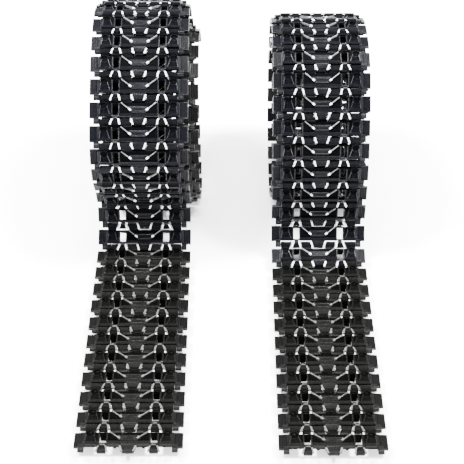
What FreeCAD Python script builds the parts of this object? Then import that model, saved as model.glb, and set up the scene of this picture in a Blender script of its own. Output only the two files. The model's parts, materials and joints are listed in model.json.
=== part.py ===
import FreeCAD, Part
import math
import os
import re

# A pair of tank tracks made of hinged plastic links on steel pins. Millimetres, +Z up.
# Each track lies flat at the front (-Y), bends up and is rolled into a loose coil behind it (+Y).
#
# The link's own frame: x across the track, y along it from the near hinge (y = 0) to the far hinge
# (y = link_pitch), z outward through the face that meets the ground in use. The pins run along x.

# ---------------------------------------------------------------------------------------------
# Driving dimensions
# ---------------------------------------------------------------------------------------------
SIZES = {
    "link_width": 45.0,  # over the end tabs
    "link_pitch": 11.0,  # hinge to hinge
    "pin_radius": 0.75,
    "pin_length": 40.6,
    "bore_radius": 0.80,
    "barrel_radius": 1.55,  # hinge lugs
    "crown_top": 1.90,  # flat on top of each hinge lug
    "crown_half": 0.85,
    "crown_foot_half": 1.25,
    "crown_foot": 0.90,
    "edge_gap": 2.20,  # from a hinge line to the plate's edge
    "plate_top": 0.40,
    "plate_bottom": -1.10,
    "plate_half": 18.20,
    "arm_top": 1.40,  # the lugs' arms, where they leave the plate
    "tab_top": -0.30,
    "tab_bottom": -1.60,
    "tab_inset": 1.75,  # from a hinge line to the end tab's edge
    "tab_inner": 18.00,
    "foot_outer": 20.50,  # small end lug beside each tab
    "foot_inner": 18.40,
    "foot_radius": 1.10,
    "bar_half": 12.40,  # grouser bar beside the near hinge
    "bar_far": 3.60,
    "bar_top": 1.70,
    "rib_half": 3.80,  # short raised rib in the middle of the plate
    "rib_near": 4.60,
    "rib_far": 6.60,
    "rib_top": 0.95,
    "pad_top": 1.20,  # tapered pad on each wing
    "pad_far": 7.80,
    "hole_inner": 9.13,  # sprocket holes
    "hole_outer": 11.84,
    "hole_near": 2.90,
    "hole_far": 8.20,
    "ridge_width": 0.70,  # the two slanted chevron ridges
    "ridge_top": 1.30,
    "horn_inner": 4.90,  # guide horns on the inner face
    "horn_outer": 7.10,
    "horn_near": 3.30,
    "horn_far": 7.70,
    "horn_tip": -5.20,
    "horn_sink": 0.20,  # how far a horn reaches into the plate
    "lug_play": 0.10,  # clearance at each side and tip of the lugs
    "cut_reach": 3.00,  # a cut's height above and below the plate
}

# Half the width that each hinge lug reaches across, at its tip and where it leaves the plate.
# The lugs of two neighbours mesh, and the slits between them slant.
CENTRE_LUG = {"tip": 2.06, "root": 3.34}
NEAR_LUG = {"tip": (8.72, 12.64), "root": (9.75, 11.12)}
NEAR_LUG_ROOT = (8.80, 12.20)
FAR_LUG = {"tip": (4.01, 8.67), "root": (2.73, 7.64)}
WING_LUG = {"tip": (12.29, 17.90), "root": (13.81, 17.90)}
WING_PAD = {"near": (13.20, 17.60), "far": (14.40, 16.30)}
RIDGE_START = (7.65, 8.60)
RIDGE_END = (3.60, 5.40)
HORN_TIP_X = (5.30, 6.70)
HORN_TIP_Y = (4.60, 6.40)
OVERLAP = 0.40  # how far joined features reach into each other

# ---------------------------------------------------------------------------------------------
# How the two tracks lie
# ---------------------------------------------------------------------------------------------
TRACK_SPACING = 84.0  # centre to centre
HINGED_LINKS = 13  # links that hang on joints of their own, from the free end
LAYER_GAP = 8.2  # between the hinge lines of two layers of a coil
INNER_LINKS = 15  # links of the coil's inner turn
INNER_TURNS = range(10, 27)  # degrees that one link of the inner turn may turn by, tried in order
USUAL_TURN = 17
LINKS_AHEAD = 3  # how many more links are tried, at the usual turn, before a turn is taken
LINKS_BESIDE = 5  # the last links before a new one, which it can't run into
SIDE_STEP = 0.45  # sideways play of one link on its neighbour

# Slopes, in degrees above horizontal, of the links after the flat run: up the bend, then over the
# front of the coil. Its back turns by the same angle at each hinge, until the links lie under it.
TRACKS = {
    "left": {
        "centre": -TRACK_SPACING / 2,
        "start": 1.0,  # y of the free end's hinge
        "flat_links": 11,
        "bend": (36, 74),
        "front": (108, 118, 100, 72, 50, 42, 38, 35, 21, 15, -7, -24, -41),
        "back_turn": 12.5,
        "back_links": 11,
        "side_shift": 4.5,
    },
    "right": {
        "centre": TRACK_SPACING / 2,
        "start": 0.0,
        "flat_links": 10,
        "bend": (17, 53, 84),
        "front": (85, 75, 66, 60, 54, 43, 22, 8, -4),
        "back_turn": 14.1,
        "back_links": 13,
        "side_shift": 0.0,
    },
}

doc = FreeCAD.newDocument("tank_tracks")
sheet = doc.addObject("Spreadsheet::Sheet", "Sizes")
for row, (alias, value) in enumerate(SIZES.items(), start=1):
    sheet.set(f"A{row}", alias)
    sheet.set(f"B{row}", str(value))
    sheet.setAlias(f"B{row}", alias)
doc.recompute()


def cell(text):
    """An expression in which every driving dimension is looked up in the sheet."""
    return re.sub(r"[a-z]+(_[a-z]+)+", lambda found: "Sizes." + found.group(0), str(text))


def bind(item, settings):
    for name, text in settings.items():
        item.setExpression(name, cell(text))
    return item


def block(name, x, y, z):
    """A box between pairs of limits along x, y and z."""
    (x0, x1), (y0, y1), (z0, z1) = x, y, z
    return bind(
        doc.addObject("Part::Box", name),
        {
            "Length": f"({x1}) - ({x0})",
            "Width": f"({y1}) - ({y0})",
            "Height": f"({z1}) - ({z0})",
            "Placement.Base.x": x0,
            "Placement.Base.y": y0,
            "Placement.Base.z": z0,
        },
    )


def rod(name, radius, x, y, z="0"):
    """A cylinder along x."""
    item = doc.addObject("Part::Cylinder", name)
    item.Placement = FreeCAD.Placement(FreeCAD.Vector(), FreeCAD.Rotation(FreeCAD.Vector(0, 1, 0), 90))
    return bind(
        item,
        {
            "Radius": radius,
            "Height": f"({x[1]}) - ({x[0]})",
            "Placement.Base.x": x[0],
            "Placement.Base.y": y,
            "Placement.Base.z": z,
        },
    )


def taper(name, y, near, far, z, z_far=None):
    """A wedge that runs from one x range at y[0] to another at y[1]."""
    z_far = z_far or z
    limits = {"Ymin": y[0], "Ymax": y[1], "Xmin": near[0], "Xmax": near[1], "X2min": far[0]}
    limits.update({"X2max": far[1], "Zmin": z[0], "Zmax": z[1], "Z2min": z_far[0], "Z2max": z_far[1]})
    return bind(doc.addObject("Part::Wedge", name), limits)


def turned(item, degrees):
    """The same wedge with its taper turned up or down, about x."""
    item.Placement = FreeCAD.Placement(
        FreeCAD.Vector(), FreeCAD.Rotation(FreeCAD.Vector(1, 0, 0), degrees)
    )
    return item


def fuse(name, items):
    joined = doc.addObject("Part::MultiFuse", name)
    joined.Shapes = items
    return joined


def both_sides(x):
    """A range of distances from the middle, as the x range on each side."""
    return {"l": (f"-({x[1]})", f"-({x[0]})"), "r": (x[0], x[1])}


def knuckle_rail(name, hinge_y, toward):
    """A full-width hinge barrel with a flat crown and an arm to the plate; the lugs are cut from it."""
    x = ("-foot_inner + lug_play", "foot_inner - lug_play")
    barrel = rod(name + "_barrel", "barrel_radius", x, hinge_y)
    reach = f"{hinge_y} + {toward} * (edge_gap + {OVERLAP})"
    arm_y = (hinge_y, reach) if toward > 0 else (reach, hinge_y)
    arm = block(name + "_arm", x, arm_y, ("plate_bottom", "arm_top"))
    crown = taper(
        name + "_crown",
        ("crown_foot", "crown_top"),
        x,
        x,
        ("-crown_foot_half", "crown_foot_half"),
        ("-crown_half", "crown_half"),
    )
    bind(turned(crown, 90), {"Placement.Base.y": hinge_y})
    return fuse(name + "_rail", [barrel, arm, crown])


def lug_mask(name, hinge_y, toward, tip, root):
    """The slanted outline that one lug is cut to, from its tip to the plate."""
    tip_y = f"{hinge_y} - {toward} * (barrel_radius + lug_play)"
    root_y = f"{hinge_y} + {toward} * (edge_gap + {OVERLAP})"
    height = ("-cut_reach", "cut_reach")
    if toward > 0:
        return taper(name, (tip_y, root_y), tip, root, height)
    return taper(name, (root_y, tip_y), root, tip, height)


def lugs(name, hinge_y, toward, masks):
    cut = doc.addObject("Part::MultiCommon", name)
    cut.Shapes = [knuckle_rail(name, hinge_y, toward), fuse(name + "_masks", masks)]
    return cut


def near_lugs():
    tip, root = CENTRE_LUG["tip"], CENTRE_LUG["root"]
    masks = [lug_mask("centre_mask", "0", 1, (-tip, tip), (-root, root))]
    sides_tip, sides_root = both_sides(NEAR_LUG["tip"]), both_sides(NEAR_LUG["root"])
    for side, x in both_sides(NEAR_LUG_ROOT).items():
        masks.append(lug_mask("near_mask_" + side, "0", 1, sides_tip[side], sides_root[side]))
        y = ("tab_inset", f"edge_gap + {OVERLAP}")
        masks.append(block("near_root_" + side, x, y, ("-cut_reach", "cut_reach")))
    return lugs("near_lugs", "0", 1, masks)


def far_lugs():
    masks = []
    for label, outline in (("far", FAR_LUG), ("wing", WING_LUG)):
        tips, roots = both_sides(outline["tip"]), both_sides(outline["root"])
        for side in tips:
            mask = lug_mask(f"{label}_mask_{side}", "link_pitch", -1, tips[side], roots[side])
            masks.append(mask)
    return lugs("far_lugs", "link_pitch", -1, masks)


def plates():
    """The plate, its grouser bar and rib, and the lower end tabs with their small end lugs."""
    along = ("edge_gap", "link_pitch - edge_gap")
    bar_height = ("plate_bottom", "bar_top")
    items = [
        block("plate", ("-plate_half", "plate_half"), along, ("plate_bottom", "plate_top")),
        block("grouser_bar", ("-bar_half", "bar_half"), ("edge_gap", "bar_far"), bar_height),
        block("rib", ("-rib_half", "rib_half"), ("rib_near", "rib_far"), ("plate_bottom", "rib_top")),
    ]
    for side, x in both_sides(("tab_inner", "link_width / 2")).items():
        y = ("tab_inset", "link_pitch - tab_inset")
        items.append(block("tab_" + side, x, y, ("tab_bottom", "tab_top")))
    for side, x in both_sides(("foot_inner", "foot_outer")).items():
        items.append(rod("foot_" + side, "foot_radius", x, "0"))
        foot_y = ("0", f"tab_inset + {OVERLAP}")
        items.append(block("foot_arm_" + side, x, foot_y, ("plate_bottom", "plate_top")))
    return items


def raised_marks():
    """The tapered pad on each wing and the slanted ridges that make a chevron."""
    items = []
    near, far = both_sides(WING_PAD["near"]), both_sides(WING_PAD["far"])
    for side in near:
        pad = taper("pad_" + side, ("edge_gap", "pad_far"), near[side], far[side], ("0", "pad_top"))
        items.append(pad)
    run_x, run_y = RIDGE_START[0] - RIDGE_END[0], RIDGE_START[1] - RIDGE_END[1]
    length, slant = math.hypot(run_x, run_y), math.degrees(math.atan2(run_y, run_x))
    for side, sign in (("l", -1), ("r", 1)):
        ridge = doc.addObject("Part::Box", "ridge_" + side)
        bind(ridge, {"Width": "ridge_width", "Height": "ridge_top"})
        ridge.Length = length
        angle = slant if sign > 0 else 180 - slant
        spin = FreeCAD.Rotation(FreeCAD.Vector(0, 0, 1), angle)
        start = FreeCAD.Vector(sign * RIDGE_END[0], RIDGE_END[1], 0)
        offset = spin.multVec(FreeCAD.Vector(0, -SIZES["ridge_width"] / 2, 0))
        ridge.Placement = FreeCAD.Placement(start + offset, spin)
        items.append(ridge)
    return items


def guide_horns():
    items = []
    base, tip = both_sides(("horn_inner", "horn_outer")), both_sides(HORN_TIP_X)
    for side in base:
        depth = ("-plate_bottom - horn_sink", "-horn_tip")
        horn = taper("horn_" + side, depth, base[side], tip[side], ("horn_near", "horn_far"), HORN_TIP_Y)
        items.append(turned(horn, -90))
    return items


def make_link():
    body = fuse("link_body", [near_lugs(), far_lugs(), *plates(), *raised_marks(), *guide_horns()])
    full = ("-link_width / 2", "link_width / 2")
    voids = [rod("near_bore", "bore_radius", full, "0"), rod("far_bore", "bore_radius", full, "link_pitch")]
    for side, x in both_sides(("hole_inner", "hole_outer")).items():
        y = ("hole_near", "hole_far")
        voids.append(block("sprocket_hole_" + side, x, y, ("-cut_reach", "cut_reach")))
    link = doc.addObject("Part::Cut", "link")
    link.Base, link.Tool = body, fuse("voids", voids)
    link.Refine = True
    return link


def make_pin():
    return rod("pin", "pin_radius", ("-pin_length / 2", "pin_length / 2"), "0")


def step(point, slope):
    reach = SIZES["link_pitch"]
    along, up = math.cos(math.radians(slope)), math.sin(math.radians(slope))
    return (point[0] + reach * along, point[1] + reach * up)


def gap_to_line(point, a, b):
    """Distance from a point to the stretch from a to b."""
    run = (b[0] - a[0], b[1] - a[1])
    share = ((point[0] - a[0]) * run[0] + (point[1] - a[1]) * run[1]) / (run[0] ** 2 + run[1] ** 2)
    share = max(0.0, min(1.0, share))
    return math.dist(point, (a[0] + share * run[0], a[1] + share * run[1]))


def inner_turn(points, slope):
    """Slopes of the coil's inner turn: each link turns just enough to stay inside the outer turn."""
    points, slopes = list(points), []
    for _ in range(INNER_LINKS):
        outer = list(zip(points, points[1:]))[:-LINKS_BESIDE]
        for turn in INNER_TURNS:
            ahead = [step(points[-1], slope - turn)]
            for more in range(1, LINKS_AHEAD + 1):
                ahead.append(step(ahead[-1], slope - turn - more * USUAL_TURN))
            if all(gap_to_line(p, a, b) > LAYER_GAP for a, b in outer for p in ahead):
                break
        slope -= turn
        slopes.append(slope)
        points.append(step(points[-1], slope))
    return slopes


def lay_out(track):
    """Slopes of all links, the points of all hinge lines in (y, z), and the links' sideways shifts."""
    slopes = [0] * track["flat_links"] + list(track["bend"]) + list(track["front"])
    first_back = len(slopes)
    for _ in range(track["back_links"]):
        slopes.append(slopes[-1] - track["back_turn"])
    points = [(track["start"], 0.0)]
    for slope in slopes:
        points.append(step(points[-1], slope))
    for slope in inner_turn(points, slopes[-1]):
        slopes.append(slope)
        points.append(step(points[-1], slope))
    shifts = []
    for number in range(len(slopes)):
        moved = SIDE_STEP * max(0, number - first_back)
        shifts.append(min(moved, track["side_shift"]))
    return slopes, points, shifts


def placed(shape, x, point, slope):
    copy = shape.copy()
    turn = FreeCAD.Rotation(FreeCAD.Vector(1, 0, 0), slope)
    copy.Placement = FreeCAD.Placement(FreeCAD.Vector(x, *point), turn).multiply(shape.Placement)
    return copy


def check(item):
    """Stops the build if an object failed or its shape is empty or broken."""
    failed = "Invalid" in item.State or "Error" in item.State
    shape = getattr(item, "Shape", None)
    if failed or (shape is not None and (shape.isNull() or not shape.isValid())):
        raise RuntimeError(f"{item.Label} failed: {item.State}")


link, pin = make_link(), make_pin()
doc.recompute()
for item in doc.Objects:
    check(item)
if len(link.Shape.Solids) != 1:
    raise RuntimeError(f"the link is {len(link.Shape.Solids)} solids")

# Each track's pieces, as lists of shapes under the name of their sub-part.
pieces = {}
for side, track in TRACKS.items():
    slopes, points, shifts = lay_out(track)
    coil_front_end = track["flat_links"] + len(track["bend"]) + len(track["front"])
    for number, (slope, point, shift) in enumerate(zip(slopes, points, shifts)):
        x = track["centre"] + shift
        if number < HINGED_LINKS:
            names = (f"{side}_link_{number + 1:02d}", f"{side}_pin_{number + 1:02d}")
        else:
            part_of_coil = "coil_front" if number < coil_front_end else "coil_core"
            names = (f"{side}_{part_of_coil}_links", f"{side}_{part_of_coil}_pins")
        pieces.setdefault(names[0], []).append(placed(link.Shape, x, point, slope))
        if number + 1 < len(slopes):
            pieces.setdefault(names[1], []).append(placed(pin.Shape, x, points[number + 1], slope))

# The row stands on z = 0, with its middle over the origin.
everything = Part.makeCompound([shape for shapes in pieces.values() for shape in shapes])
box = everything.optimalBoundingBox(False)
ORIGIN_SHIFT = FreeCAD.Vector(-(box.XMin + box.XMax) / 2, -(box.YMin + box.YMax) / 2, -box.ZMin)

parts = []
for name, shapes in pieces.items():
    part = doc.addObject("Part::Feature", name)
    part.Label = name
    part.Shape = shapes[0] if len(shapes) == 1 else Part.makeCompound(shapes)
    part.Placement = FreeCAD.Placement(ORIGIN_SHIFT, FreeCAD.Rotation()).multiply(part.Placement)
    parts.append(part)
doc.recompute()
for part in parts:
    check(part)

os.makedirs("parts", exist_ok=True)
for part in parts:
    part.Shape.exportStep(os.path.join("parts", part.Label + ".step"))
print(len(parts), "sub-parts")
print("size", [round(v, 2) for v in (box.XLength, box.YLength, box.ZLength)])
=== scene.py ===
import json
import math

import bmesh
import bpy
from mathutils import Matrix, Vector

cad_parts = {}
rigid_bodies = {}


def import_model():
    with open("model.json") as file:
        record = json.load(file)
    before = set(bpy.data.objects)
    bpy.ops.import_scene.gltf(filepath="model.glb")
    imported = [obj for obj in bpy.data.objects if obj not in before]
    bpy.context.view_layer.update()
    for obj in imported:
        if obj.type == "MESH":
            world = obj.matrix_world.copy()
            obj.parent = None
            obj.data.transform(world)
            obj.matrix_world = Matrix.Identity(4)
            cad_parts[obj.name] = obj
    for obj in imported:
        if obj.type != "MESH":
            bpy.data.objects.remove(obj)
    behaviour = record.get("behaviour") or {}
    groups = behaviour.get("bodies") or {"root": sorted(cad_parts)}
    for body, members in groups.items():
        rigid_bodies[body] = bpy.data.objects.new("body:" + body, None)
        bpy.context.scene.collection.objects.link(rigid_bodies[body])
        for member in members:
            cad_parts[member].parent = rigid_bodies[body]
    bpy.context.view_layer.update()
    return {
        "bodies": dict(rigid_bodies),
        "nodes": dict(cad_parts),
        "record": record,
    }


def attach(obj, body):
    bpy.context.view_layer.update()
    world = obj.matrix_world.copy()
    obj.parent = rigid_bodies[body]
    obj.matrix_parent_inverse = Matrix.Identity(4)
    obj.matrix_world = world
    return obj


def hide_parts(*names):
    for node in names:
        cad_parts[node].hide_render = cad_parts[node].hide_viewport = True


# A pair of tank tracks. One detailed link and one pin are built as meshes in the link's own frame
# (x across, y from the near hinge to the far hinge, z outward, in millimetres) and placed on every
# hinge line that the CAD pins give.

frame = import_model()

MM = 0.001
PITCH = 11.0
SIDES = ("left", "right")
LOW, RISE = 12.0 * MM, 3.0 * MM  # a link lower and flatter than this belongs to a track's flat run
OUTER_LINKS = 38  # links numbered above this get the duller materials
PLASTIC, EDGE, BRIGHT, SHINE, DEEP, BAR = range(6)  # material slots of the link's mesh; BRIGHT and SHINE carry painted highlights, EDGE wear with a painted highlight, DEEP painted shade

# ---------------------------------------------------------------------------------------------
# The link, in millimetres
# ---------------------------------------------------------------------------------------------
BORE_RADIUS = 0.80
BARREL_RADIUS = 1.55
CROWN_TOP = 1.90
CROWN_HALF = 0.80
ARM_TOP = 1.40
PLATE_TOP = 0.40
PLATE_BOTTOM = -1.10
PLATE_NEAR, PLATE_FAR = 2.20, 8.80
PLATE_HALF = 18.20
HOLE_X = (9.13, 11.84)
HOLE_Y = (2.90, 8.20)
LUG_TIP, LUG_ROOT = -1.60, 2.60  # a lug's reach from its hinge line, away from and into the plate
RIB_PITCH = 0.56
RIB_DEPTH = 0.20
FLANK = 0.70  # how far the bright strips beside the near lugs reach into the slits
FOOT_REACH = 1.10
SHARP = 0.5  # edges turning by more radians than this are rounded
RIM_BEVEL = 0.16
RIDGE_BEVEL = 0.07
CUP_CHAMFER = 0.12
ROUND_SIDES = 20
PIN_HALF = 20.30
PIN_RADIUS = 0.75
PIN_CHAMFER = 0.18

MOULD_GRAIN = 0.00006  # metres
FLOOR_HALF = 6.0  # metres


class Shells:
    """Vertices and faces of a mesh made of closed shells."""

    def __init__(self):
        self.verts, self.faces, self.slots = [], [], []

    def add(self, verts, faces, slots):
        base = len(self.verts)
        self.verts += [tuple(v) for v in verts]
        self.faces += [tuple(base + i for i in face) for face in faces]
        self.slots += slots

    def both_sides(self, make, *args, **options):
        """Adds what make builds for x > 0, and its mirror image."""
        half = Shells()
        make(half, *args, **options)
        self.add(half.verts, half.faces, half.slots)
        mirrored = [(-x, y, z) for x, y, z in half.verts]
        self.add(mirrored, [face[::-1] for face in half.faces], half.slots)

    def mesh(self, name, materials):
        data = bpy.data.meshes.new(name)
        data.from_pydata([Vector(v) * MM for v in self.verts], [], self.faces)
        for material in materials:
            data.materials.append(material)
        data.polygons.foreach_set("material_index", self.slots)
        data.polygons.foreach_set("use_smooth", [False] * len(data.polygons))
        data.update()
        return data


def rings(shells, loops, slots, closed=False):
    """Joins loops of points, each with the same count, into a tube; slots has one entry per strip."""
    count = len(loops[0])
    verts = [point for loop in loops for point in loop]
    faces, marks = [], []
    strips = len(loops) if closed else len(loops) - 1
    for strip in range(strips):
        a, b = strip * count, ((strip + 1) % len(loops)) * count
        for i in range(count):
            j = (i + 1) % count
            faces.append((a + i, b + i, b + j, a + j))
            marks.append(slots[strip](i) if callable(slots[strip]) else slots[strip])
    if not closed:
        faces.append(tuple(range(count)))
        faces.append(tuple(reversed(range((len(loops) - 1) * count, len(loops) * count))))
        marks += [PLASTIC, PLASTIC]
    shells.add(verts, faces, marks)


def round_edges(shells, work, edges, bevel, slot=PLASTIC, segments=2):
    """Rounds edges of a closed bmesh, marks the new faces as worn edges that are also lightened as painted
    highlights, and adds it all to shells.
    """
    result = bmesh.ops.bevel(work, geom=edges, offset=bevel, segments=segments, profile=0.5, affect="EDGES")
    rounded = set(result["faces"])
    bmesh.ops.recalc_face_normals(work, faces=work.faces[:])
    work.verts.index_update()
    faces = [[v.index for v in face.verts] for face in work.faces]
    worn_and_lit = EDGE if slot in (PLASTIC, BAR) else slot
    slots = [worn_and_lit if face in rounded else slot for face in work.faces]
    shells.add([v.co[:] for v in work.verts], faces, slots)
    work.free()


def solid(shells, corners, bevel, slot=PLASTIC, segments=2):
    """A six-sided solid from its four lower and four upper corners, with rounded edges."""
    work = bmesh.new()
    verts = [work.verts.new(c) for c in corners]
    quads = ((3, 2, 1, 0), (4, 5, 6, 7), (0, 1, 5, 4), (1, 2, 6, 5), (2, 3, 7, 6), (3, 0, 4, 7))
    for quad in quads:
        work.faces.new([verts[i] for i in quad])
    round_edges(shells, work, work.edges[:], bevel, slot, segments)


def slab(shells, near, far, y, z, **options):
    """A solid that runs from one x range at y[0] to another at y[1]."""
    plan = [(near[0], y[0]), (near[1], y[0]), (far[1], y[1]), (far[0], y[1])]
    solid(shells, [(px, py, z[0]) for px, py in plan] + [(px, py, z[1]) for px, py in plan], **options)


def ribbed_slab(shells, near, far, y, z, pitch=RIB_PITCH, depth=RIB_DEPTH, edge=0.22, slot=PLASTIC):
    """A slab whose top is cut into fine ribs that run along y, with chamfered ends."""
    count = max(2, round((near[1] - near[0]) / pitch))
    loops = []
    for py, drop in ((y[0], edge), (y[0] + edge, 0.0), (y[1] - edge, 0.0), (y[1], edge)):
        share = (py - y[0]) / (y[1] - y[0])
        x0 = near[0] + (far[0] - near[0]) * share
        x1 = near[1] + (far[1] - near[1]) * share
        loop = [(x0, py, z[0])]
        for i in range(2 * count + 1):
            px = x0 + (x1 - x0) * i / (2 * count)
            groove = 0.0 if i % 2 else depth
            loop.append((px, py, z[1] - drop - groove))
        loop.append((x1, py, z[0]))
        loops.append(loop)
    rings(shells, loops, [slot] * 3)


# ---------------------------------------------------------------------------------------------
# Hinge lugs
# ---------------------------------------------------------------------------------------------
def lug_outline(low):
    """The lug seen along its hinge line: (toward its own plate, outward) points.

    A low lug drops to the plate; the others keep an arm's height.
    """
    if low:
        outline = [(LUG_ROOT, 0.30), (1.95, 0.42), (1.55, 1.05), (1.20, 1.60), (CROWN_HALF, CROWN_TOP)]
    else:
        outline = [(LUG_ROOT, ARM_TOP), (1.75, ARM_TOP), (1.20, 1.52), (0.95, 1.80)]
        outline.append((CROWN_HALF, CROWN_TOP))
    outline += [(0.0, CROWN_TOP), (-CROWN_HALF, CROWN_TOP), (-0.98, 1.78), (-1.22, 1.05)]
    for degrees in (150, 170, 190, 210, 230, 250, 270, 292):
        angle = math.radians(degrees)
        outline.append((BARREL_RADIUS * math.cos(angle), BARREL_RADIUS * math.sin(angle)))
    outline += [(1.10, PLATE_BOTTOM), (LUG_ROOT, PLATE_BOTTOM), (LUG_ROOT, 0.15)]
    return outline


def toward_centre(point, radius):
    """The point, drawn in to at most that radius from the hinge line."""
    length = math.hypot(*point)
    share = min(1.0, radius / length)
    return (point[0] * share, point[1] * share)


def lug_sides(tip, root, along):
    """The x range of a lug at a distance from its hinge line, toward its own plate."""
    part = (along - LUG_TIP) / (LUG_ROOT - LUG_TIP)
    return tuple(a + (b - a) * part for a, b in zip(tip, root))


def lug(shells, hinge_y, toward, tip, root, ribbed=True, reach=None, low=False):
    """A hinge lug between slanted sides: tip and root are its x ranges away from and at the plate."""
    outline = lug_outline(low)
    if reach is not None:
        outline = [toward_centre(p, reach) if p[0] < 1.2 else (p[0], p[1] * 0.4) for p in outline]

    def station(points, share):
        loop = []
        for along, up in points:
            x0, x1 = lug_sides(tip, root, along)
            loop.append((x0 + (x1 - x0) * share, hinge_y + toward * along, up))
        return loop

    bore = [toward_centre(p, BORE_RADIUS) for p in outline]
    rim = [toward_centre(p, BORE_RADIUS + 0.15) for p in outline]
    eased = [(p[0] * 0.95, p[1] * 0.93) for p in outline]
    grooved = []
    for point in outline:
        cut = point[1] > 0.3 and point[0] < 1.9
        grooved.append(toward_centre(point, math.hypot(*point) - RIB_DEPTH) if cut else point)
    width = abs(tip[1] - tip[0])
    start = 0.12 / width
    loops = [station(bore, 0.0), station(rim, 0.0), station(eased, 0.0), station(outline, start)]
    if ribbed:
        count = max(2, round(width / RIB_PITCH))
        for i in range(1, 2 * count):
            share = start + (1 - 2 * start) * i / (2 * count)
            loops.append(station(grooved if i % 2 else outline, share))
    loops += [station(outline, 1 - start), station(eased, 1.0), station(rim, 1.0), station(bore, 1.0)]
    if toward < 0:
        loops = loops[::-1]
    rings(shells, loops, [BAR] * len(loops), closed=True)


def flank(shells, tip, root, side):
    """The strip beside a near lug, in the slit between it and its neighbour, coloured light as a painted
    highlight; side is 0 or 1.
    """
    profile = [(1.30, 0.55), (1.30, 1.40), (1.05, 1.58), (-0.95, 1.58), (-1.32, 1.22), (-1.32, 0.55)]
    out = 1 if side else -1
    loops = []
    for outset, drop in ((-0.10, 0.0), (FLANK - 0.06, 0.10), (FLANK, 0.18)):
        loop = []
        for along, up in profile:
            x = lug_sides(tip, root, along)[side]
            loop.append((x + out * outset, along, up - (drop if up > 1.0 else 0.0)))
        loops.append(loop)
    if side == 0:
        loops = loops[::-1]
    rings(shells, loops, [lambda i: BRIGHT if i in (1, 2, 3) else PLASTIC] * 2)


CENTRE_LUG = {"tip": (-2.06, 2.06), "root": (-3.34, 3.34)}
NEAR_LUG = {"tip": (8.72, 12.64), "root": (9.75, 11.12)}
FAR_LUG = {"tip": (4.17, 8.51), "root": (2.89, 7.48)}
WING_LUG = {"tip": (12.55, 17.90), "root": (14.07, 17.90)}
FOOT_LUG = {"tip": (18.06, 20.50), "root": (18.06, 20.50)}


# ---------------------------------------------------------------------------------------------
# The rest of the link
# ---------------------------------------------------------------------------------------------
def plate_with_holes(shells):
    """The flat plate with its two sprocket holes, all rims rounded, coloured darker as painted shade in the
    recess.
    """
    xs = [-PLATE_HALF, -HOLE_X[1], -HOLE_X[0], HOLE_X[0], HOLE_X[1], PLATE_HALF]
    ys = [PLATE_NEAR, HOLE_Y[0], HOLE_Y[1], PLATE_FAR]
    work = bmesh.new()
    grid = [[work.verts.new((x, y, PLATE_BOTTOM)) for y in ys] for x in xs]
    for i in range(len(xs) - 1):
        for j in range(len(ys) - 1):
            if i in (1, 3) and j == 1:
                continue
            work.faces.new((grid[i][j], grid[i + 1][j], grid[i + 1][j + 1], grid[i][j + 1]))
    lifted = bmesh.ops.extrude_face_region(work, geom=work.faces[:])
    top = [item for item in lifted["geom"] if isinstance(item, bmesh.types.BMVert)]
    bmesh.ops.translate(work, verts=top, vec=(0, 0, PLATE_TOP - PLATE_BOTTOM))
    bmesh.ops.recalc_face_normals(work, faces=work.faces[:])
    sharp = [e for e in work.edges if len(e.link_faces) == 2 and e.calc_face_angle(0.0) > SHARP]
    round_edges(shells, work, sharp, RIM_BEVEL, slot=DEEP)


def ridge(shells, start, end, width, base_z, top_z, slot):
    """A slanted ridge with a narrow bright back."""
    run = (Vector(end) - Vector(start)).normalized()
    across = Vector((-run.y, run.x))
    foot, back = width / 2, width * 0.32
    lower, upper = [], []
    for point, sign in ((start, -1), (start, 1), (end, 1), (end, -1)):
        side = across * sign
        lower.append((point[0] + side.x * foot, point[1] + side.y * foot, base_z))
        upper.append((point[0] + side.x * back, point[1] + side.y * back, top_z))
    solid(shells, lower[::-1] + upper[::-1], bevel=RIDGE_BEVEL, slot=slot)


def chevron(shells):
    """The slanted ridge from the far hinge row toward the middle, with a thick tip; the backs of both are
    coloured light as painted highlights.
    """
    ridge(shells, (7.95, 8.75), (4.15, 5.75), 0.50, PLATE_TOP - 0.2, 1.22, SHINE)
    ridge(shells, (4.45, 6.00), (3.45, 5.25), 0.90, PLATE_TOP - 0.2, 1.30, BRIGHT)


def around():
    """The angles of the points on a round loop."""
    return [2 * math.pi * i / ROUND_SIDES for i in range(ROUND_SIDES)]


def cup(shells, x, y, inner, outer, z):
    """A low round wall around a pocket that is coloured dark as painted shade."""
    bottom, top = z
    shoulder = top - CUP_CHAMFER
    wall = [(outer, bottom), (outer, shoulder), (outer - CUP_CHAMFER, top), (inner, top), (inner, bottom)]
    loops = []
    for radius, height in wall:
        loops.append([(x + radius * math.cos(t), y + radius * math.sin(t), height) for t in around()])
    rings(shells, loops, [PLASTIC, PLASTIC, PLASTIC, DEEP, DEEP], closed=True)


def wing(shells):
    """The wing plate: a tapered, ribbed pad between borders in the worn edge material, lightened as painted
    highlights, a round pocket and a side wall.
    """
    ribbed_slab(shells, (13.15, 17.70), (14.40, 16.90), (3.40, 6.30), (0.0, 1.05), pitch=0.5)
    ribbed_slab(shells, (12.45, 18.10), (12.45, 18.10), (2.15, 3.65), (0.0, 1.40), pitch=0.5, slot=BAR)
    ridge(shells, (13.05, 3.40), (14.30, 7.10), 0.42, 0.0, 1.34, EDGE)
    ridge(shells, (17.75, 3.40), (17.20, 7.10), 0.42, 0.0, 1.34, EDGE)
    cup(shells, 15.85, 7.45, 1.62, 1.88, (0.0, 1.20))
    slab(shells, (17.55, 18.15), (17.45, 18.05), (3.20, 8.80), (0.0, 1.02), bevel=0.12)


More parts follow.
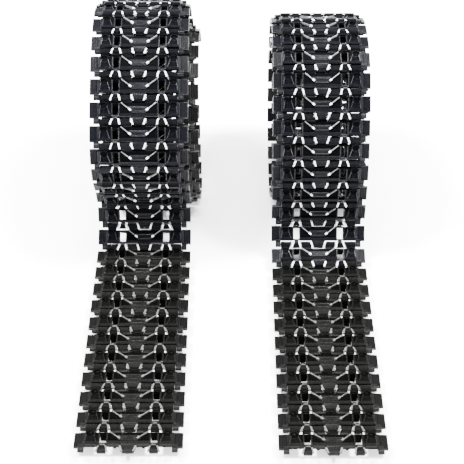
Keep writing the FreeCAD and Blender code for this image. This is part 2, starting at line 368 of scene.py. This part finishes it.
def end_tab(shells):
    """The lower tab beyond the plate, with two shallow steps and a rib on its outer edge."""
    slab(shells, (18.00, 22.50), (18.00, 22.50), (1.75, 9.25), (-1.60, -0.42), bevel=0.22)
    ribbed_slab(shells, (18.40, 22.10), (18.40, 22.10), (2.10, 8.90), (-1.2, -0.28), pitch=0.74, depth=0.16)
    slab(shells, (17.90, 18.75), (17.90, 18.75), (2.40, 8.60), (-1.10, 0.62), bevel=0.14)


def cross_wall(shells):
    """The wall under the plate behind a sprocket hole, coloured dark as painted shade."""
    slab(shells, (8.95, 12.05), (9.15, 11.85), (8.24, 8.84), (-4.80, -0.90), bevel=0.14, slot=DEEP)


def horn(shells):
    """A guide horn on the inner face."""
    top = [(4.90, 3.30), (7.10, 3.30), (7.10, 7.70), (4.90, 7.70)]
    tip = [(5.30, 4.60), (6.70, 4.60), (6.70, 6.40), (5.30, 6.40)]
    solid(shells, [(x, y, -5.20) for x, y in tip] + [(x, y, -0.90) for x, y in top], bevel=0.35, segments=3)


def middle(shells):
    """The grouser bar beside the near hinge, the stepped centre plate and its cross rib."""
    ribbed_slab(shells, (-8.70, 8.70), (-8.70, 8.70), (2.25, 3.65), (-0.5, 1.70), slot=BAR)
    slab(shells, (-8.9, 8.9), (-8.9, 8.9), (2.15, 3.30), (-0.6, 1.22), bevel=0.12)
    ribbed_slab(shells, (-2.90, 2.90), (-4.60, 4.60), (5.05, 7.10), (0.0, 0.80), pitch=0.6, depth=0.08)
    slab(shells, (-3.40, 3.40), (-3.40, 3.40), (4.20, 5.00), (0.0, 1.02), bevel=0.14)
    slab(shells, (-3.60, 3.60), (-4.30, 4.30), (6.30, 7.00), (0.0, 0.98), bevel=0.14)


def hole_frame(shells, arch):
    """The rim around a sprocket hole: an arch at the near side, and low walls along it."""
    slab(shells, (9.35, 11.62), (9.55, 11.42), (1.45, 2.05), (0.0, 1.62), bevel=0.16, slot=arch)
    slab(shells, (8.90, 12.20), (8.90, 12.20), (2.30, 2.88), (-0.5, 1.36), bevel=0.14)
    slab(shells, (8.62, 9.10), (8.62, 9.10), (2.80, 8.40), (0.0, 0.78), bevel=0.12)
    slab(shells, (11.88, 12.40), (11.88, 12.40), (2.80, 8.40), (0.0, 0.95), bevel=0.12)


def link_mesh(name, materials, arch):
    """A whole link; arch is the slot of the arch between two strips, which colours the arch light as a
    painted highlight.
    """
    shells = Shells()
    plate_with_holes(shells)
    lug(shells, 0.0, 1, **CENTRE_LUG)
    shells.both_sides(lug, 0.0, 1, **NEAR_LUG)
    shells.both_sides(flank, **CENTRE_LUG, side=1)
    for side in (0, 1):
        shells.both_sides(flank, **NEAR_LUG, side=side)
    shells.both_sides(lug, PITCH, -1, **FAR_LUG, low=True)
    shells.both_sides(lug, PITCH, -1, **WING_LUG, low=True)
    shells.both_sides(lug, 0.0, 1, **FOOT_LUG, ribbed=False, reach=FOOT_REACH)
    middle(shells)
    for make in (wing, end_tab, horn, chevron, cross_wall):
        shells.both_sides(make)
    shells.both_sides(hole_frame, arch)
    return shells.mesh(name, materials)


def pin_mesh(material):
    """A cut length of steel wire with chamfered ends."""
    shells = Shells()
    shoulder, end_radius = PIN_HALF - PIN_CHAMFER, PIN_RADIUS - PIN_CHAMFER
    loops = []
    right = [(shoulder, PIN_RADIUS), (PIN_HALF, end_radius)]
    left = [(-x, r) for x, r in reversed(right)]
    for x, r in left + right:
        loops.append([(x, r * math.cos(a), r * math.sin(a)) for a in around()])
    rings(shells, loops, [PLASTIC] * 3)
    data = shells.mesh("pin", [material])
    data.polygons.foreach_set("use_smooth", [len(p.vertices) == 4 for p in data.polygons])
    return data


# ---------------------------------------------------------------------------------------------
# Materials
# ---------------------------------------------------------------------------------------------
class Nodes:
    """A material's node tree, with short ways to add and join nodes."""

    def __init__(self, name):
        self.material = bpy.data.materials.new(name)
        self.material.use_nodes = True
        self.tree = self.material.node_tree
        self.shader = self.tree.nodes["Principled BSDF"]

    def add(self, kind, **settings):
        node = self.tree.nodes.new(kind)
        for key, value in settings.items():
            if hasattr(node, key):
                setattr(node, key, value)
            else:
                node.inputs[key.replace("_", " ")].default_value = value
        return node

    def join(self, source, target):
        self.tree.links.new(source, target)

    def noise(self, scale, detail=3.0):
        """Noise over the whole scene, so that no two links look alike; scale is per metre."""
        place = self.add("ShaderNodeNewGeometry")
        node = self.add("ShaderNodeTexNoise", Scale=scale, Detail=detail, Roughness=0.5)
        self.join(place.outputs["Position"], node.inputs["Vector"])
        return node.outputs["Fac"]

    def ramp(self, value, stops):
        """A blend between two (position, level) stops; a level is a grey or a colour."""
        node = self.add("ShaderNodeValToRGB")
        for element, (position, level) in zip(node.color_ramp.elements, stops):
            colour = (*level, 1.0) if isinstance(level, tuple) else (level, level, level, 1.0)
            element.position, element.color = position, colour
        self.join(value, node.inputs["Fac"])
        return node.outputs["Color"]

    def bump(self, value, distance, strength):
        node = self.add("ShaderNodeBump", Distance=distance, Strength=strength)
        self.join(value, node.inputs["Height"])
        self.join(node.outputs["Normal"], self.shader.inputs["Normal"])


def plastic(name, tones, shine, specular):
    """Moulded plastic: mottled tone, uneven polish and a fine mould texture."""
    n = Nodes(name)
    n.join(n.ramp(n.noise(1100.0), [(0.3, tones[0]), (0.7, tones[1])]), n.shader.inputs["Base Color"])
    n.join(n.ramp(n.noise(2500.0), [(0.3, shine[0]), (0.7, shine[1])]), n.shader.inputs["Roughness"])
    n.bump(n.noise(6000.0, detail=2.0), MOULD_GRAIN, 0.5)
    n.shader.inputs["Specular IOR Level"].default_value = specular
    return n.material


def link_materials(place, body, edge, strip, ridge_back, recess, bar):
    """The materials of a link: plate, worn edges lightened as painted highlights, strips in the slits and
    ridge backs coloured as painted highlights, recesses darkened as painted shade, and bars.
    """
    return [
        plastic("black_plastic_" + place, body, (0.24, 0.42), 0.030),
        plastic("worn_and_lit_edge_" + place, edge, (0.16, 0.32), 0.10),
        plastic("painted_highlight_strip_" + place, strip, (0.22, 0.38), 0.30),
        plastic("painted_highlight_ridge_" + place, ridge_back, (0.18, 0.34), 0.25),
        plastic("painted_shade_recess_" + place, recess, (0.50, 0.70), 0.006),
        plastic("ribbed_bar_" + place, bar, (0.22, 0.40), 0.036),
    ]


def steel_material():
    """Drawn steel wire with an uneven polish."""
    n = Nodes("drawn_steel")
    tone = n.ramp(n.noise(2200.0), [(0.3, (0.16, 0.16, 0.17)), (0.7, (0.30, 0.30, 0.31))])
    n.join(tone, n.shader.inputs["Base Color"])
    n.join(n.ramp(n.noise(4000.0), [(0.3, 0.22), (0.7, 0.40)]), n.shader.inputs["Roughness"])
    n.bump(n.noise(7000.0, detail=1.0), 0.00004, 0.4)
    n.shader.inputs["Metallic"].default_value = 1.0
    return n.material


# ---------------------------------------------------------------------------------------------
# Where the links lie
# ---------------------------------------------------------------------------------------------
def pin_centres(node):
    """The middle of each pin in a CAD node. The pins lie along x and stand well apart."""
    groups = []
    for vertex in frame["nodes"][node].data.vertices:
        for group in groups:
            if math.hypot(vertex.co.y - group[0].y, vertex.co.z - group[0].z) < 2 * MM:
                group.append(vertex.co.copy())
                break
        else:
            groups.append([vertex.co.copy()])
    centres = []
    for group in groups:
        low = [min(v[i] for v in group) for i in range(3)]
        high = [max(v[i] for v in group) for i in range(3)]
        centres.append(Vector([(a + b) / 2 for a, b in zip(low, high)]))
    return centres


def in_order(start, heading, centres):
    """The centres as one chain from a start point: each a pitch on, with the smallest turn."""
    chain, centres = [], list(centres)
    while centres:
        near = [c for c in centres if abs((c - start).yz.length - PITCH * MM) < 0.3 * MM]
        following = min(near, key=lambda c: heading.angle((c - start).yz))
        heading, start = (following - start).yz, following
        chain.append(following)
        centres.remove(following)
    return chain


def mount_place(name):
    for mount in frame["record"]["mounts"]:
        if mount["name"] == name:
            return Vector(mount["pos_m"])
    raise RuntimeError("no mount named " + name)


def chain_of(side):
    """Every pin of a track from its free end: (body, pins node, links node, centre of the pin)."""
    chain, last = [], mount_place(side + "_free_end")
    heading = Vector((1.0, 0.0))
    for body in [b for b in frame["bodies"] if b.startswith(side)]:
        members = frame["record"]["behaviour"]["bodies"][body]
        links, pins = sorted(members, key=lambda name: "pin" in name)
        for centre in in_order(last, heading, pin_centres(pins)):
            chain.append((body, links, pins, centre))
            heading, last = (centre - last).yz, centre
    return chain


def place_piece(data, name, body, node, matrix):
    piece = bpy.data.objects.new(name, data)
    bpy.context.scene.collection.objects.link(piece)
    piece.matrix_world = matrix
    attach(piece, body)
    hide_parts(node)
    return piece


def build_track(side, flat_link, rolled_link, pin_data):
    chain = chain_of(side)
    near = mount_place(side + "_free_end")
    inner_end = mount_place(side + "_inner_end")
    stops = chain + [(chain[-1][0], chain[-1][1], None, inner_end)]
    for number, (body, links, pins, far) in enumerate(stops, start=1):
        run = (far - near).yz
        turn = Matrix.Rotation(math.atan2(run.y, run.x), 4, "X")
        place = Matrix.Translation((far.x, near.y, near.z)) @ turn
        low = far.z - near.z < RISE and far.z < LOW
        link = flat_link if low or number > OUTER_LINKS else rolled_link
        place_piece(link, f"{side}_track_link_{number:02d}", body, links, place)
        if pins:
            there = Matrix.Translation(far) @ turn
            place_piece(pin_data, f"{side}_hinge_pin_{number:02d}", body, pins, there)
        near = far


# ---------------------------------------------------------------------------------------------
# Floor, lights and camera
# ---------------------------------------------------------------------------------------------
def floor():
    n = Nodes("pale_floor")
    n.join(n.ramp(n.noise(40.0), [(0.3, 0.90), (0.7, 0.93)]), n.shader.inputs["Base Color"])
    n.shader.inputs["Roughness"].default_value = 0.7
    data = bpy.data.meshes.new("floor")
    corners = [(-1, -1), (1, -1), (1, 1), (-1, 1)]
    data.from_pydata([(x * FLOOR_HALF, y * FLOOR_HALF, 0) for x, y in corners], [], [(0, 1, 2, 3)])
    data.materials.append(n.material)
    piece = bpy.data.objects.new("floor", data)
    bpy.context.scene.collection.objects.link(piece)


def softbox(name, place, target, size, power):
    data = bpy.data.lights.new(name, "AREA")
    data.shape, data.size, data.size_y, data.energy = "RECTANGLE", size[0], size[1], power
    light = bpy.data.objects.new(name, data)
    bpy.context.scene.collection.objects.link(light)
    aim = Vector(target) - Vector(place)
    light.matrix_world = Matrix.Translation(place) @ aim.to_track_quat("-Z", "Y").to_matrix().to_4x4()


def lights():
    softbox("left_softbox", (-0.60, 0.12, 1.2), (0.0, 0.0, 0.0), (0.30, 0.20), 110.0)
    softbox("right_softbox", (0.60, 0.12, 1.2), (0.0, 0.0, 0.0), (0.30, 0.20), 110.0)
    softbox("top_softbox", (0.0, 0.15, 1.25), (0.0, 0.0, 0.0), (1.0, 0.20), 90.0)
    softbox("front_softbox", (0.0, -1.2, 0.30), (0.0, 0.02, 0.04), (0.9, 0.20), 60.0)
    world = bpy.data.worlds.new("surroundings")
    bpy.context.scene.world = world
    world.use_nodes = True
    background = world.node_tree.nodes["Background"]
    background.inputs["Color"].default_value = (1.0, 1.0, 1.0, 1.0)
    background.inputs["Strength"].default_value = 3.0


CAMERA_PITCH = 42.1  # degrees below horizontal
CAMERA_LENS = 89.0
CAMERA_BACK = 0.286  # in front of the right track's free end
CAMERA_UP = 0.379  # above that end's hinge line


def camera():
    free_end = mount_place("right_free_end")
    data = bpy.data.cameras.new("camera")
    data.lens, data.sensor_width = CAMERA_LENS, 36.0
    data.clip_start, data.clip_end = 0.01, 20.0
    item = bpy.data.objects.new("camera", data)
    bpy.context.scene.collection.objects.link(item)
    item.location = (0.0005, free_end.y - CAMERA_BACK, free_end.z + CAMERA_UP)
    item.rotation_euler = (math.radians(90 - CAMERA_PITCH), 0.0, 0.0)
    bpy.context.scene.camera = item


# Every link has the same shape. The two sets of materials are the same plastic under different light: the
# rolled copy paints near-white highlights into the slits and lighter ridge backs and edges; the flat copy,
# used for the flat runs and the links above OUTER_LINKS, has these grey and its recesses darker, as painted
# shade.
flat_link = link_mesh("flat_link", link_materials(
    "flat",
    body=((0.0007, 0.0007, 0.0007), (0.0018, 0.0018, 0.0017)),
    edge=((0.0012, 0.0012, 0.0012), (0.0045, 0.0045, 0.0044)),
    strip=((0.028, 0.028, 0.028), (0.060, 0.060, 0.058)),
    ridge_back=((0.010, 0.010, 0.010), (0.030, 0.030, 0.029)),
    recess=((0.00010, 0.00010, 0.00010), (0.00035, 0.00035, 0.00035)),
    bar=((0.0016, 0.0016, 0.0015), (0.0034, 0.0034, 0.0032)),
), arch=SHINE)
rolled_link = link_mesh("rolled_link", link_materials(
    "rolled",
    body=((0.0005, 0.0005, 0.0009), (0.0019, 0.0019, 0.0027)),
    edge=((0.0028, 0.0028, 0.0036), (0.0160, 0.0160, 0.0185)),
    strip=((0.45, 0.45, 0.46), (0.65, 0.65, 0.66)),
    ridge_back=((0.030, 0.030, 0.032), (0.110, 0.110, 0.115)),
    recess=((0.0002, 0.0002, 0.0003), (0.0007, 0.0007, 0.0010)),
    bar=((0.0009, 0.0009, 0.0013), (0.0022, 0.0022, 0.0029)),
), arch=EDGE)
pin_data = pin_mesh(steel_material())
for track_side in SIDES:
    build_track(track_side, flat_link, rolled_link, pin_data)
floor()
lights()
camera()
